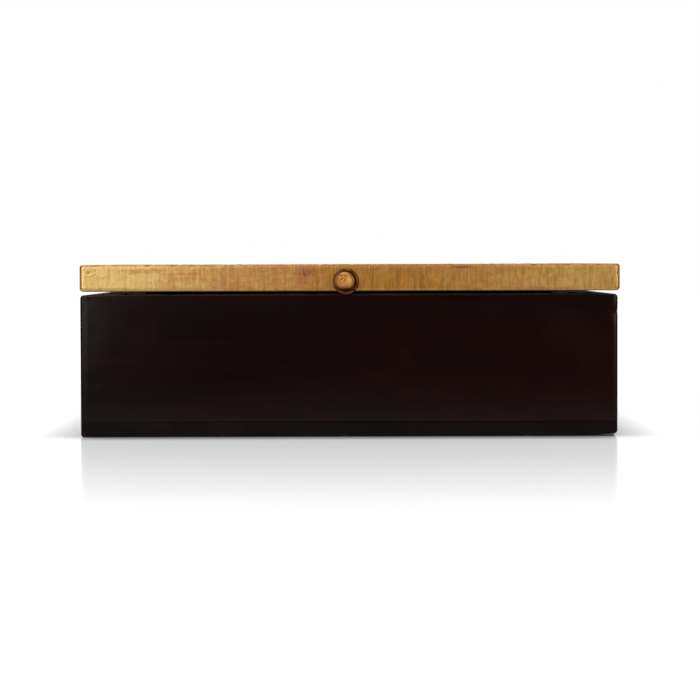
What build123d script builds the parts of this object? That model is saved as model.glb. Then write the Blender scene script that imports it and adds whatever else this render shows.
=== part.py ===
from build123d import *
import os
from math import cos, pi, radians, sin, sqrt

# A square keepsake box: a stained hardwood body, a gilded lid frame round an inlaid top, two brass
# butt hinges at the back and a small brass knob in front. Millimetres, +Z up, front towards -Y.
# The origin is the middle of the base board's underside.

# ---------------------------------------------------------------------------- driving dimensions

# Body
body_width = 253.0          # outside, left to right
body_depth = 252.4          # outside, front to back
wall_thick = 12.0
wall_height = 60.1
base_thick = 7.3
corner_radius = 1.6         # the four upright corners of walls and base
wall_top_radius = 0.6       # arris along the walls' top edges
base_edge_radius = 1.4      # arris round the base board's underside
crown_width = 12.0          # the walls' tops fall away over this width at either side
crown_drop = 0.35
crown_edge_radius = 1.6

# Pins that hold the body together
corner_pin_inset = 7.0      # from the side face
corner_pin_rise = 18.4      # from the walls' lower and upper edges
corner_pin_length = 32.0
corner_pin_sink = 1.0       # filled over
base_pin_length = 22.0
base_pin_sink = 0.5
base_pin_spread = 85.0      # either side of the middle one
pin_shank_radius = 0.7
pin_head_radius = 1.15
pin_head_thick = 0.8

# Lid
lid_gap = 1.2               # daylight between walls and lid
lid_thick = 12.7
lid_over_front = 1.6
lid_over_left = 0.1
lid_over_right = 0.9
lid_corner_radius = 2.0
lid_top_radius = 1.3
lid_bottom_radius = 1.6
rail_width = 22.0
rebate_width = 8.0          # step in the rails' inner edge that the top panel lies on
rebate_depth = 6.8
panel_clearance = 0.2       # all round, inside the rebate
panel_core_thick = 4.8
lid_pin_rise = 4.2          # above the lid's underside, the lower of each corner's two pins
lid_pin_pitch = 4.2
lid_pin_inset = 9.0         # from the front or back face
lid_pin_length = 26.0
lid_pin_sink = 0.8

# Linings and stops
lining_thick = 2.0
lining_clearance = 0.3
stop_radius = 4.0
stop_spread = 100.0         # either side of the middle, on the front wall
stop_clearance = 0.05       # felt to wall, lid shut

# Inlay
inlay_thick = 1.2
ground_line = 0.7           # dark line left between neighbouring tiles
string_width = 1.2          # brass stringing
string_deep = 0.6
outer_string_margin = 6.3   # panel edge to the outer square of stringing
band_gap = 1.8              # plain ground between stringing and border band
band_width = 12.0
band_repeats = 12           # triangles along each side of the border band
star_margin = 6.5           # inner stringing to the tips of the large star
rosette_ring = 7.0          # ring of bars round the middle rosette
corner_rosette_radius = 8.0
corner_rosette_margin = 15.0

# Hinges
hinge_spread = 75.0         # either side of the middle
hinge_pin_inset = 0.85      # pin axis in from the box's back face
leaf_length = 25.0
leaf_width = 10.0           # from the pin axis
leaf_thick = 0.9
leaf_sink = 0.6             # mortise depth in wall and rail
leaf_clearance = 0.1        # round the leaf in its mortise
knuckle_count = 5
knuckle_radius = 1.75
knuckle_clearance = 0.3     # round the knuckles, in the wood and in the other leaf
knuckle_float = 0.1         # between neighbouring knuckles
hinge_pin_radius = 0.8
hinge_pin_play = 0.05
hinge_pin_head_radius = 1.35
hinge_pin_head_thick = 0.5
screw_spread = 7.5
screw_from_pin = 6.2
screw_head_radius = 1.8
screw_shank_radius = 1.0
screw_length = 9.0
screw_point = 2.0
screw_slot_width = 0.5
screw_slot_deep = 0.35

# Knob
knob_offset = -1.3          # from the middle of the body
knob_rise = 4.5             # above the lid's underside
rosette_radius = 6.15
rosette_thick = 1.8
knob_face_radius = 4.6
knob_neck_radius = 2.7
knob_length = 8.2           # from the rosette to the top of the domed face
knob_head_thick = 2.2
knob_dome = 2.4
stud_radius = 1.5
stud_in_rail = 10.0
stud_in_knob = 4.5

# ------------------------------------------------------------------------------- derived places

wall_top = base_thick + wall_height
lid_bottom = wall_top + lid_gap
lid_top = lid_bottom + lid_thick
lid_left = -body_width / 2 - lid_over_left
lid_right = body_width / 2 + lid_over_right
lid_front = -body_depth / 2 - lid_over_front
lid_back = body_depth / 2
lid_mid_x = (lid_left + lid_right) / 2
lid_mid_y = (lid_front + lid_back) / 2
inner_half_x = body_width / 2 - wall_thick
inner_half_y = body_depth / 2 - wall_thick
ledge_top = lid_top - rebate_depth
core_top = ledge_top + panel_core_thick
panel_half_x = (lid_right - lid_left) / 2 - rail_width + rebate_width - panel_clearance
panel_half_y = (lid_back - lid_front) / 2 - rail_width + rebate_width - panel_clearance
pin_axis_y = body_depth / 2 - hinge_pin_inset
pin_axis_z = wall_top + lid_gap / 2
leaf_face = lid_gap / 2 + leaf_sink - leaf_thick      # pin axis to either leaf's free face
leaf_seat = leaf_face + leaf_thick


# ------------------------------------------------------------------------------- common shapes

def block(x_span, y_span, z_span):
    """A rectangular block between the low and high values of its three spans."""
    spans = (x_span, y_span, z_span)
    middle = [(low + high) / 2 for low, high in spans]
    return Pos(*middle) * Box(*[high - low for low, high in spans])


def turned(profile):
    """A solid turned about Z from (radius, height) points that start and end on the axis."""
    return revolve(Plane.XZ * make_face(Polyline(*profile, close=True)), Axis.Z)


def nail(length, sink):
    """A headed pin driven upwards from z = 0, its head `sink` under the surface."""
    head_top = sink + pin_head_thick
    return turned([
        (0, sink), (pin_head_radius, sink), (pin_head_radius, head_top),
        (pin_shank_radius, head_top), (pin_shank_radius, sink + length - 1.5), (0, sink + length),
    ])


def well(sink):
    """What is open, or filled, between a sunk head and the surface."""
    return Pos(0, 0, sink / 2) * Cylinder(pin_head_radius, sink)


def group(solids):
    """Like pieces that share one node."""
    return Compound(children=[solid for shape in solids for solid in shape.solids()])


def cut(shape, tools):
    """The shape with every tool's space removed."""
    for tool in tools:
        shape = shape - tool
    return shape


# ------------------------------------------------------------------------------- where pins go

def corner_pin_places():
    """Through the front and back walls into the ends of the side walls."""
    heights = (base_thick + corner_pin_rise, wall_top - corner_pin_rise)
    for side in (-1, 1):
        for z in heights:
            x = side * (body_width / 2 - corner_pin_inset)
            yield Pos(x, -body_depth / 2, z) * Rot(-90, 0, 0)
            yield Pos(x, body_depth / 2, z) * Rot(90, 0, 0)


def base_pin_places():
    """Up through the base board into the middle of each wall's thickness."""
    for along in (-base_pin_spread, 0, base_pin_spread):
        for side in (-1, 1):
            yield Pos(along, side * (body_depth / 2 - wall_thick / 2), 0)
            yield Pos(side * (body_width / 2 - wall_thick / 2), along, 0)


def lid_pin_places():
    """Across each mitre, from the side faces into the ends of the front and back rails."""
    for y in (lid_front + lid_pin_inset, lid_back - lid_pin_inset):
        for step in (0, 1):
            z = lid_bottom + lid_pin_rise + step * lid_pin_pitch
            yield Pos(lid_left, y, z) * Rot(0, 90, 0)
            yield Pos(lid_right, y, z) * Rot(0, -90, 0)


# -------------------------------------------------------------------------------------- hinges

def hinge_places():
    """The middle of each hinge's pin axis."""
    return {side: Pos(x, pin_axis_y, pin_axis_z)
            for side, x in (("left", -hinge_spread), ("right", hinge_spread))}


def along_x(radius, start, end):
    """A cylinder on the X axis."""
    return Pos((start + end) / 2, 0, 0) * Rot(0, 90, 0) * Cylinder(radius, end - start)


def leaf_screw_envelope():
    """A countersunk screw pointing down, its head flush with the body leaf's free face."""
    head_deep = screw_head_radius - screw_shank_radius
    return turned([
        (0, 0), (screw_head_radius, 0), (screw_shank_radius, -head_deep),
        (screw_shank_radius, screw_point - screw_length), (0, -screw_length),
    ])


def leaf_screw_places():
    for side in (-1, 1):
        yield Pos(side * screw_spread, -screw_from_pin, -leaf_face)


def hinge_leaf(first_knuckle):
    """The body's leaf, pin axis on X; its own knuckles are every second one from the first."""
    half = leaf_length / 2
    pitch = leaf_length / knuckle_count
    leaf = block((-half, half), (-leaf_width, 0), (-leaf_seat, -leaf_face))
    leaf = leaf + along_x(knuckle_radius, -half, half)
    for index in range(1 - first_knuckle, knuckle_count, 2):
        start = -half + index * pitch - knuckle_float / 2
        end = start + pitch + knuckle_float
        leaf = leaf - along_x(knuckle_radius + knuckle_clearance, start, end)
    leaf = leaf - along_x(hinge_pin_radius + hinge_pin_play, -half - 1, half + 1)
    return cut(leaf, [place * leaf_screw_envelope() for place in leaf_screw_places()])


def hinge_recess():
    """What the body leaf, barrel and screws take out of the wall under the pin axis."""
    half = leaf_length / 2 + leaf_clearance
    barrel_half = leaf_length / 2 + hinge_pin_head_thick + leaf_clearance
    recess = block((-half, half), (-leaf_width - leaf_clearance, 2 * knuckle_radius), (-leaf_seat, 0))
    recess = recess + along_x(knuckle_radius + knuckle_clearance, -barrel_half, barrel_half)
    for place in leaf_screw_places():
        recess = recess + place * leaf_screw_envelope()
    return recess


def hinge_pin():
    """The loose pin, headed over against the outer knuckles."""
    half = leaf_length / 2
    pin = along_x(hinge_pin_radius, -half, half)
    for side in (-1, 1):
        ends = sorted((side * half, side * (half + hinge_pin_head_thick)))
        pin = pin + along_x(hinge_pin_head_radius, *ends)
    return pin


def leaf_screws():
    slot = block((-screw_head_radius, screw_head_radius), (-screw_slot_width / 2, screw_slot_width / 2),
                 (-screw_slot_deep, 1))
    screw = leaf_screw_envelope() - slot
    return [place * screw for place in leaf_screw_places()]


def over(shape):
    """The lid's copy of a body hinge piece, mirrored through the pin axis."""
    return shape.mirror(Plane.XY)


# ---------------------------------------------------------------------------------------- body

def crown_waste(side):
    """What the rounded fall of the walls' tops takes off at one side, the whole depth long."""
    outer = body_width / 2
    start = outer - crown_width
    end = outer - crown_edge_radius
    low = wall_top - crown_drop
    run = end - start
    arc_radius = (run ** 2 + crown_drop ** 2) / (2 * crown_drop)
    half_run = run / 2
    half_drop = arc_radius - sqrt(arc_radius ** 2 - half_run ** 2)
    shoulder = crown_edge_radius * (1 - cos(pi / 4))
    outline = [
        ThreePointArc((start, wall_top), (start + half_run, wall_top - half_drop), (end, low)),
        ThreePointArc((end, low), (outer - shoulder, low - shoulder), (outer, low - crown_edge_radius)),
        Polyline((outer, low - crown_edge_radius), (outer + 1, low - crown_edge_radius),
                 (outer + 1, wall_top + 1), (start, wall_top + 1), (start, wall_top)),
    ]
    waste = extrude(Plane.XZ * make_face(outline), body_depth / 2 + 1, both=True)
    return waste if side > 0 else waste.mirror(Plane.YZ)


def walls():
    """The four walls: front and back run the whole width, the sides fit between them."""
    half_x = body_width / 2
    half_y = body_depth / 2
    ring = block((-half_x, half_x), (-half_y, half_y), (base_thick, wall_top))
    ring = fillet(ring.edges().filter_by(Axis.Z), corner_radius)
    ring = fillet(ring.faces().sort_by(Axis.Z)[-1].edges(), wall_top_radius)
    ring = cut(ring, [crown_waste(-1), crown_waste(1)])
    z_span = (base_thick - 1, wall_top + 1)
    spans = {
        "front_wall": ((-half_x, half_x), (-half_y, -inner_half_y), z_span),
        "back_wall": ((-half_x, half_x), (inner_half_y, half_y), z_span),
        "left_wall": ((-half_x, -inner_half_x), (-inner_half_y, inner_half_y), z_span),
        "right_wall": ((inner_half_x, half_x), (-inner_half_y, inner_half_y), z_span),
    }
    corner_tools = [place * (nail(corner_pin_length, corner_pin_sink) + well(corner_pin_sink))
                    for place in corner_pin_places()]
    base_tools = [place * nail(base_pin_length, base_pin_sink) for place in base_pin_places()]
    pieces = {name: cut(ring & block(*span), corner_tools + base_tools) for name, span in spans.items()}
    hinge_tools = [place * hinge_recess() for place in hinge_places().values()]
    pieces["back_wall"] = cut(pieces["back_wall"], hinge_tools)
    return pieces


def base_board():
    half_x = body_width / 2
    half_y = body_depth / 2
    board = block((-half_x, half_x), (-half_y, half_y), (0, base_thick))
    board = fillet(board.edges().filter_by(Axis.Z), corner_radius)
    board = fillet(board.faces().sort_by(Axis.Z)[0].edges(), base_edge_radius)
    return cut(board, [place * (nail(base_pin_length, base_pin_sink) + well(base_pin_sink))
                       for place in base_pin_places()])


def floor_lining():
    half_x = inner_half_x - lining_clearance
    half_y = inner_half_y - lining_clearance
    return block((-half_x, half_x), (-half_y, half_y), (base_thick, base_thick + lining_thick))


# ----------------------------------------------------------------------------------------- lid

def mitre_wedge(corner_a, corner_b, towards):
    """The plan of one mitred rail, from two corners of the lid inwards."""
    reach = rail_width + 1
    inner = []
    for (x, y), sign in ((corner_b, -1), (corner_a, 1)):
        along = (corner_b[0] - corner_a[0], corner_b[1] - corner_a[1])
        length = abs(along[0]) + abs(along[1])
        inner.append((x + reach * (towards[0] + sign * along[0] / length),
                      y + reach * (towards[1] + sign * along[1] / length)))
    plan = make_face(Polyline(corner_a, corner_b, *inner, close=True))
    return Pos(0, 0, lid_bottom - 1) * extrude(plan, lid_thick + 2, dir=(0, 0, 1))


def lid_rails():
    """The mitred frame, cut from one eased block, with a rebate for the top panel."""
    frame = block((lid_left, lid_right), (lid_front, lid_back), (lid_bottom, lid_top))
    frame = fillet(frame.edges().filter_by(Axis.Z), lid_corner_radius)
    frame = fillet(frame.faces().sort_by(Axis.Z)[-1].edges(), lid_top_radius)
    frame = fillet(frame.faces().sort_by(Axis.Z)[0].edges(), lid_bottom_radius)
    z_span = (lid_bottom - 1, lid_top + 1)
    frame = frame - block((lid_left + rail_width, lid_right - rail_width),
                          (lid_front + rail_width, lid_back - rail_width), z_span)
    step = rail_width - rebate_width
    frame = frame - block((lid_left + step, lid_right - step), (lid_front + step, lid_back - step),
                          (ledge_top, lid_top + 1))
    left_front, right_front = (lid_left, lid_front), (lid_right, lid_front)
    left_back, right_back = (lid_left, lid_back), (lid_right, lid_back)
    rails = {
        "lid_rail_front": frame & mitre_wedge(left_front, right_front, (0, 1)),
        "lid_rail_right": frame & mitre_wedge(right_front, right_back, (-1, 0)),
        "lid_rail_back": frame & mitre_wedge(right_back, left_back, (0, -1)),
        "lid_rail_left": frame & mitre_wedge(left_back, left_front, (1, 0)),
    }
    pin_tools = [place * (nail(lid_pin_length, lid_pin_sink) + well(lid_pin_sink))
                 for place in lid_pin_places()]
    rails = {name: cut(rail, pin_tools) for name, rail in rails.items()}
    rails["lid_rail_back"] = cut(rails["lid_rail_back"],
                                 [place * over(hinge_recess()) for place in hinge_places().values()])
    rails["lid_rail_front"] = rails["lid_rail_front"] - knob_stud()
    return rails


def lid_panel():
    return block((lid_mid_x - panel_half_x, lid_mid_x + panel_half_x),
                 (lid_mid_y - panel_half_y, lid_mid_y + panel_half_y), (ledge_top, core_top))


def lid_lining():
    """The padded sheet glued up under the panel, inside the rails."""
    side = rail_width + lining_clearance
    return block((lid_left + side, lid_right - side), (lid_front + side, lid_back - side),
                 (ledge_top - lining_thick, ledge_top))


def lid_stops():
    """Felt dots under the front rail that meet the front wall when the lid is shut."""
    thick = lid_gap - stop_clearance
    dot = Cylinder(stop_radius, thick)
    y = -body_depth / 2 + wall_thick / 2
    return group([Pos(x, y, lid_bottom - thick / 2) * dot for x in (-stop_spread, stop_spread)])


# --------------------------------------------------------------------------------------- inlay

def polar(radius, degrees):
    return (radius * cos(radians(degrees)), radius * sin(radians(degrees)))


def shifted(points, x, y):
    return [(px + x, py + y) for px, py in points]


def quarter_turned(points, turns):
    """Points turned by quarter turns about the panel's middle."""
    for _ in range(turns):
        points = [(-y, x) for x, y in points]
    return points


def inset(points, distance):
    """A convex outline, anticlockwise, with every side moved in by the distance."""
    sides = []
    for (x0, y0), (x1, y1) in zip(points, points[1:] + points[:1]):
        length = sqrt((x1 - x0) ** 2 + (y1 - y0) ** 2)
        normal = ((y0 - y1) / length, (x1 - x0) / length)
        sides.append((*normal, normal[0] * x0 + normal[1] * y0 + distance))
    corners = []
    for (a0, b0, c0), (a1, b1, c1) in zip(sides[-1:] + sides[:-1], sides):
        det = a0 * b1 - a1 * b0
        corners.append(((c0 * b1 - c1 * b0) / det, (a0 * c1 - a1 * c0) / det))
    return corners


def square(half_x, half_y):
    return [(-half_x, -half_y), (half_x, -half_y), (half_x, half_y), (-half_x, half_y)]


def rosette_figures(radius, turn):
    """An eight-pointed star of kites in an octagon, with rhombs and squares between its points."""
    notch = radius * cos(radians(67.5)) / cos(radians(45))
    side_mid = 2 * radius * cos(radians(22.5)) - notch
    corner = radius * sqrt(2)
    for tip in [turn + 45 * step for step in range(8)]:
        before, after = tip - 22.5, tip + 22.5
        yield "kite", [(0, 0), polar(notch, before), polar(radius, tip), polar(notch, after)]
        yield "rhomb", [polar(notch, after), polar(radius, tip), polar(side_mid, after),
                        polar(radius, tip + 45)]
        yield "square", [polar(radius, tip), polar(side_mid, before), polar(corner, tip),
                         polar(side_mid, after)]


def border_figures(half_x, half_y):
    """The border band: triangles along each side and a square at each corner."""
    for turns in range(4):
        across, along = (half_y, half_x) if turns % 2 == 0 else (half_x, half_y)
        low, high = -across, -across + band_width
        reach = along - band_width
        pitch = 2 * reach / band_repeats
        feet = [-reach + pitch * step for step in range(band_repeats + 1)]
        tops = [foot + pitch / 2 for foot in feet[:-1]]
        figures = [("end", [(feet[0], low), (tops[0], high), (feet[0], high)]),
                   ("end", [(feet[-1], low), (feet[-1], high), (tops[-1], high)]),
                   ("corner", [(reach, low), (along, low), (along, high), (reach, high)])]
        figures += [("foot", [(a, low), (b, low), (top, high)]) for a, b, top in zip(feet, feet[1:], tops)]
        figures += [("top", [(a, high), (foot, low), (b, high)])
                    for a, b, foot in zip(tops, tops[1:], feet[1:-1])]
        for kind, outline in figures:
            yield kind, quarter_turned(outline, turns)


def inlay_figures():
    """Every figure of the top as (outline, ((stuff, frame width), ...)); no width means a core."""
    string_x = panel_half_x - outer_string_margin
    string_y = panel_half_y - outer_string_margin
    band_inset = string_width + band_gap
    border_looks = {"foot": (("pearl", None),), "top": (("ebony", 1.6), ("redwood", None)),
                    "end": (("bone", None),), "corner": (("redwood", 2.2), ("pearl", None))}
    for kind, outline in border_figures(string_x - band_inset, string_y - band_inset):
        yield outline, border_looks[kind]

    field_inset = band_inset + band_width + band_gap + string_width
    field_x, field_y = string_x - field_inset, string_y - field_inset
    star_radius = min(field_x, field_y) - star_margin
    octagon = star_radius * cos(radians(45)) / cos(radians(22.5))
    inner = octagon - rosette_ring
    middle_looks = {"kite": (("pearl", None),), "rhomb": (("ebony", 2.2), ("bone", 1.4), ("pearl", None)),
                    "square": (("redwood", 2.4), ("pearl", None))}
    for kind, outline in rosette_figures(inner / sqrt(2), 22.5):
        yield outline, middle_looks[kind]
    for tip in range(0, 360, 45):
        before, after = tip - 22.5, tip + 22.5
        yield [polar(octagon, before), polar(star_radius, tip), polar(octagon, after)], (
            ("bone", 1.2), ("ebony", 2.6), ("pearl", None))
        inner_a, inner_b = polar(inner, before), polar(inner, after)
        outer_a, outer_b = polar(octagon, before), polar(octagon, after)
        for part, stuff in enumerate(("redwood", "bone", "pearl", "bone", "redwood")):
            near, far = part / 5, (part + 1) / 5
            bar = [blended(inner_a, inner_b, near), blended(outer_a, outer_b, near),
                   blended(outer_a, outer_b, far), blended(inner_a, inner_b, far)]
            yield bar, ((stuff, None),)
        drop = star_radius
        yield [polar(drop - 7, after), polar(drop, after - 3.2), polar(drop + 7, after),
               polar(drop, after + 3.2)], (("bone", 1.1), ("redwood", None))

    small_looks = {"kite": (("pearl", None),), "rhomb": (("ebony", None),), "square": (("redwood", None),)}
    corner_x, corner_y = field_x - corner_rosette_margin, field_y - corner_rosette_margin
    for x, y in square(corner_x, corner_y):
        for kind, outline in rosette_figures(corner_rosette_radius, 22.5):
            yield shifted(outline, x, y), small_looks[kind]


def blended(start, end, share):
    return tuple(a + (b - a) * share for a, b in zip(start, end))


def stringing_squares():
    """Half sizes of the outer edges of the two squares of brass stringing."""
    first = outer_string_margin
    second = first + string_width + 2 * band_gap + band_width
    return [(panel_half_x - edge, panel_half_y - edge) for edge in (first, second)]


def inlay():
    """The dark ground sheet with its pockets, and the tiles of each stuff that fill them."""
    place = Pos(lid_mid_x, lid_mid_y, core_top)
    pockets = []
    tiles = {"pearl": [], "bone": [], "ebony": [], "redwood": []}
    for outline, layers in inlay_figures():
        edge = inset(outline, ground_line / 2)
        pockets.append(Wire.make_polygon([(*point, 0) for point in edge]))
        for stuff, frame_width in layers:
            holes = []
            outer = Wire.make_polygon([(*point, 0) for point in edge])
            if frame_width:
                edge = inset(edge, frame_width)
                holes = [Wire.make_polygon([(*point, 0) for point in edge])]
            tiles[stuff].append(extrude(Face(outer, holes), inlay_thick, dir=(0, 0, 1)))

    grooves = []
    strings = []
    for half_x, half_y in stringing_squares():
        rim = [Wire.make_polygon([(x, y, 0) for x, y in square(half_x - step, half_y - step)])
               for step in (0, string_width)]
        string = extrude(Face(rim[0], [rim[1]]), string_deep, dir=(0, 0, 1))
        strings.append(Pos(0, 0, inlay_thick - string_deep) * string)
        grooves.append(strings[-1])
    sheet = Wire.make_polygon([(x, y, 0) for x, y in square(panel_half_x, panel_half_y)])
    ground = cut(extrude(Face(sheet, pockets), inlay_thick, dir=(0, 0, 1)), grooves)
    nodes = {"inlay_ground": place * ground, "inlay_stringing": group([place * s for s in strings])}
    for stuff, pieces in tiles.items():
        nodes["inlay_" + stuff] = group([place * piece for piece in pieces])
    return nodes


# ---------------------------------------------------------------------------------------- knob

def knob_axis():
    """The knob's axis: local +Z points out of the front rail."""
    return Pos(knob_offset, lid_front, lid_bottom + knob_rise) * Rot(90, 0, 0)


def knob_rosette():
    """The dished backplate behind the knob, with a rolled rim."""
    rim = 0.5 * rosette_thick
    plate = Cylinder(rosette_radius, rosette_thick, align=(Align.CENTER, Align.CENTER, Align.MIN))
    plate = fillet(plate.faces().sort_by(Axis.Z)[-1].edges(), rim)
    plate = plate - Cylinder(stud_radius, 3 * rosette_thick)
    return knob_axis() * plate


def knob():
    """The turned knob: a short neck under a flat drum with a domed face."""
    head_low = knob_length - knob_head_thick - knob_dome
    shoulder = knob_length - knob_dome
    dome_radius = (knob_face_radius ** 2 + knob_dome ** 2) / (2 * knob_dome)
    half = knob_face_radius / 2
    half_rise = sqrt(dome_radius ** 2 - half ** 2) - (dome_radius - knob_dome)
    outline = [
        Polyline((0, 0), (knob_neck_radius, 0), (knob_neck_radius, 0.55 * head_low),
                 (knob_face_radius, head_low + 0.5), (knob_face_radius, shoulder)),
        ThreePointArc((knob_face_radius, shoulder), (half, shoulder + half_rise), (0, knob_length)),
        Line((0, knob_length), (0, 0)),
    ]
    shape = revolve(Plane.XZ * make_face(outline), Axis.Z)
    bore = Pos(0, 0, stud_in_knob / 2) * Cylinder(stud_radius, stud_in_knob)
    return knob_axis() * Pos(0, 0, rosette_thick) * (shape - bore)


def knob_stud():
    """The stud that runs from inside the front rail, through the rosette, into the knob."""
    end = rosette_thick + stud_in_knob
    middle = (end - stud_in_rail) / 2
    return knob_axis() * Pos(0, 0, middle) * Cylinder(stud_radius, end + stud_in_rail)


# ------------------------------------------------------------------------------------ assembly

def all_nodes():
    nodes = {
        "base_board": base_board(),
        **walls(),
        "corner_pins": group([place * nail(corner_pin_length, corner_pin_sink)
                              for place in corner_pin_places()]),
        "pin_filling": group([place * well(corner_pin_sink) for place in corner_pin_places()]),
        "base_pins": group([place * nail(base_pin_length, base_pin_sink) for place in base_pin_places()]),
        "floor_lining": floor_lining(),
        **lid_rails(),
        "lid_corner_pins": group([place * nail(lid_pin_length, lid_pin_sink)
                                  for place in lid_pin_places()]),
        "lid_pin_filling": group([place * well(lid_pin_sink) for place in lid_pin_places()]),
        "lid_panel": lid_panel(),
        **inlay(),
        "lid_lining": lid_lining(),
        "lid_stops": lid_stops(),
        "knob_rosette": knob_rosette(),
        "knob": knob(),
        "knob_stud": knob_stud(),
    }
    body_screws = []
    lid_screws = []
    for side, place in hinge_places().items():
        nodes["hinge_body_leaf_" + side] = place * hinge_leaf(0)
        nodes["hinge_lid_leaf_" + side] = place * over(hinge_leaf(1))
        nodes["hinge_pin_" + side] = place * hinge_pin()
        body_screws += [place * screw for screw in leaf_screws()]
        lid_screws += [place * over(screw) for screw in leaf_screws()]
    nodes["body_leaf_screws"] = group(body_screws)
    nodes["lid_leaf_screws"] = group(lid_screws)
    return nodes


os.makedirs("parts", exist_ok=True)
for name, shape in all_nodes().items():
    export_step(shape, f"parts/{name}.step")
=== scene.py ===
import math
import random

import bmesh
import bpy
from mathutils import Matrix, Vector, noise


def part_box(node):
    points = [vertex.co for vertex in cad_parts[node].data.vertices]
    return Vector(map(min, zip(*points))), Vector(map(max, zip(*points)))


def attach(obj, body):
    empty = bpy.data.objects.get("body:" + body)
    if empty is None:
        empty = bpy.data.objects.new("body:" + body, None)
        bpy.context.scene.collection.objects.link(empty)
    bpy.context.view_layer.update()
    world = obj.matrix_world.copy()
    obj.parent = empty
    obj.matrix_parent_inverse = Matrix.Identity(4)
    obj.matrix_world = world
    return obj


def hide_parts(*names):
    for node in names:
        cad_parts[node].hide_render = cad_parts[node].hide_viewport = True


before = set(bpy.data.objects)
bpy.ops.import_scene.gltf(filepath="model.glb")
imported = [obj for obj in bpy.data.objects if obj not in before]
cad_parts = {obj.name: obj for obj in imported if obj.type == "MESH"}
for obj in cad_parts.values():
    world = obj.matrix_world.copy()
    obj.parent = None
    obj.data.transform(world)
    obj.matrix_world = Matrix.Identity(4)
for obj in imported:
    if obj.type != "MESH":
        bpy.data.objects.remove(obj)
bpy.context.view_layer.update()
mm = 0.001


# ---- Base board -------------------------------------------------------------------------------
# One flat hardwood board, stained almost black and lacquered. It closes the box from below,
# flush with the walls, pinned up into them. Its lower edge is eased all round and a little knocked.

edge_zone = 1.6 * mm            # the widest easing on any board
edge_shares = (0, 0.07, 0.19, 0.42, 0.7, 1)


def saw_lines(low, high, cell):
    """Places of the quads' edges across a board, close together inside the eased edges."""
    near = [edge_zone * share for share in edge_shares]
    inside = high - low - 2 * edge_zone
    count = max(1, round(inside / cell))
    middle = [low + edge_zone + inside * step / count for step in range(1, count)]
    return [low + d for d in near] + middle + [high - d for d in reversed(near)]


def saw_board(low, high, cell):
    """A closed block of fine quads between two corners."""
    lines = [saw_lines(low[axis], high[axis], cell) for axis in range(3)]
    board = bmesh.new()
    corners = {}

    def corner(place):
        if place not in corners:
            corners[place] = board.verts.new([lines[axis][place[axis]] for axis in range(3)])
        return corners[place]

    for axis in range(3):
        u, v = (axis + 1) % 3, (axis + 2) % 3
        for end in (0, len(lines[axis]) - 1):
            for a in range(len(lines[u]) - 1):
                for b in range(len(lines[v]) - 1):
                    ring = []
                    for da, db in ((0, 0), (1, 0), (1, 1), (0, 1)):
                        place = [0, 0, 0]
                        place[axis], place[u], place[v] = end, a + da, b + db
                        ring.append(corner(tuple(place)))
                    board.faces.new(ring if end else ring[::-1])
    return board


def ease_edge(board, low, high, side_a, side_b, radius):
    """Rounds the edge where two sides meet; a side is (axis, -1 for the low side or 1)."""
    foot = []
    for axis, sign in (side_a, side_b):
        foot.append((axis, sign, (high if sign > 0 else low)[axis] - sign * radius))
    (a, sign_a, foot_a), (b, sign_b, foot_b) = foot
    for vert in board.verts:
        over_a = sign_a * (vert.co[a] - foot_a)
        over_b = sign_b * (vert.co[b] - foot_b)
        if over_a > 0 and over_b > 0:
            share = max(over_a, over_b) / math.hypot(over_a, over_b)
            vert.co[a] = foot_a + sign_a * over_a * share
            vert.co[b] = foot_b + sign_b * over_b * share


def ease_all(board, low, high, radii):
    """Eases all twelve edges; radii gives the ones that differ from a bare sanded arris."""
    sides = [(axis, sign) for axis in range(3) for sign in (-1, 1)]
    for index, side_a in enumerate(sides):
        for side_b in sides[index + 1:]:
            if side_a[0] != side_b[0]:
                radius = radii.get((side_a, side_b), 0.3 * mm)
                ease_edge(board, low, high, side_a, side_b, radius)


def smooth_step(low, high, value):
    share = min(1, max(0, (value - low) / (high - low)))
    return share * share * (3 - 2 * share)


def edge_wear(place, low, high, reach):
    """How near a point lies to a board's edges, 1 on the edge and 0 beyond reach, patchy along it."""
    gaps = sorted(min(place[axis] - low[axis], high[axis] - place[axis]) for axis in range(3))
    patch = 0.62 + 0.75 * noise.noise(place * 90) + 0.35 * noise.noise(place * 420)
    return min(1, max(0, patch)) * (1 - smooth_step(0, reach, gaps[1]))


def hand_planed(board, hollow, seed):
    """Lets the faces wander inwards a little, as planed and sanded wood does."""
    board.normal_update()
    shift = Vector((seed * 3.7, seed * 1.9, seed * 5.3))
    for vert in board.verts:
        wide = noise.noise(vert.co * 22 + shift)
        fine = noise.noise(vert.co * 95 + shift)
        vert.co -= vert.normal * hollow * (0.5 + 0.38 * wide + 0.12 * fine)


def placed(name, work):
    """A shaped mesh as an object in the scene."""
    mesh = bpy.data.meshes.new(name)
    work.to_mesh(mesh)
    work.free()
    piece = bpy.data.objects.new(name, mesh)
    bpy.context.collection.objects.link(piece)
    return piece


def finish_piece(name, work, grain, wear, finish):
    """Turns a mesh into an object that carries its places along the grain, its wear and its finish."""
    for face in work.faces:
        face.smooth = True
    piece = placed(name, work)
    mesh = piece.data
    along = mesh.attributes.new("grain", "FLOAT_VECTOR", "POINT")
    along.data.foreach_set("vector", [value for place in grain for value in place])
    worn = mesh.attributes.new("wear", "FLOAT", "POINT")
    worn.data.foreach_set("value", wear)
    mesh.materials.append(finish)
    return piece


def board_piece(name, board, low, high, length_axis, seed, wear, finish):
    """A board's object; grain runs along length_axis, and each board is from its own tree."""
    order = [length_axis] + [axis for axis in (0, 1, 2) if axis != length_axis]
    offset = Vector((seed * 0.31, seed * 0.17, seed * 0.23))
    board.verts.ensure_lookup_table()
    grain = [Vector([vert.co[axis] for axis in order]) + offset for vert in board.verts]
    return finish_piece(name, board, grain, wear, finish)


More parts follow.
